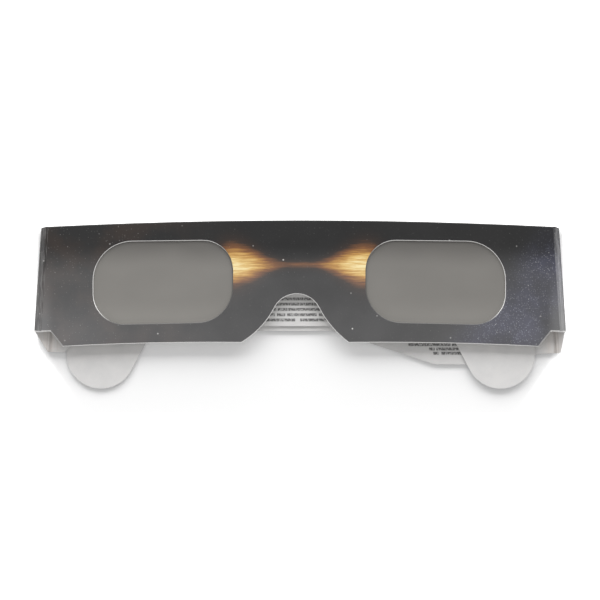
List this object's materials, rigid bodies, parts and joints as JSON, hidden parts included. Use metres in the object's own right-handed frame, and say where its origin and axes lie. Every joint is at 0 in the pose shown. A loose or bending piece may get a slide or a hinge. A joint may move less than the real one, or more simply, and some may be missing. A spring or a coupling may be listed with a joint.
{
  "type": "eclipse glasses",
  "caption": "Folding card viewing glasses with two dark filter films, a nose notch and two hinged card arms that fold flat behind the front.",
  "frame": {"origin": "on the table, under the middle of the folded outline, in the outer face of the outer arm", "axes": "+X from the left crease to the right crease as seen from the printed front, +Y towards the brow, +Z out of the printed front"},
  "size_m": [0.1558, 0.0494, 0.0033],
  "materials": {
    "printed_card": "satin",
    "bare_card": "matte",
    "arm_card": "satin",
    "filter_film": "gloss",
    "adhesive": "matte"
  },
  "bodies": {
    "front": {"front_panel": "printed_card", "back_liner": "bare_card", "panel_adhesive": "adhesive", "left_filter_film": "filter_film", "right_filter_film": "filter_film", "left_film_adhesive": "adhesive", "right_film_adhesive": "adhesive"},
    "left_spine": {"left_spine": "printed_card"},
    "left_arm": {"left_arm": "arm_card"},
    "right_spine": {"right_spine": "printed_card"},
    "right_arm": {"right_arm": "arm_card"}
  },
  "joints": [
    {"name": "left_spine_fold", "type": "hinge", "parent": "front", "child": "left_spine", "pos_m": [-0.07498, 0.00732, 0.00286], "axis": [0.068, 0.9977, 0], "range_deg": [0, 51]},
    {"name": "left_arm_fold", "type": "hinge", "parent": "left_spine", "child": "left_arm", "pos_m": [-0.07655, 0.00743, 0.00092], "axis": [0.068, 0.9977, 0], "range_deg": [0, 129]},
    {"name": "right_spine_fold", "type": "hinge", "parent": "front", "child": "right_spine", "pos_m": [0.07522, 0.00732, 0.00286], "axis": [0.068, -0.9977, 0], "range_deg": [0, 62.5]},
    {"name": "right_arm_fold", "type": "hinge", "parent": "right_spine", "child": "right_arm", "pos_m": [0.0765, 0.00741, 0.00041], "axis": [0.068, -0.9977, 0], "range_deg": [0, 117.5]}
  ]
}
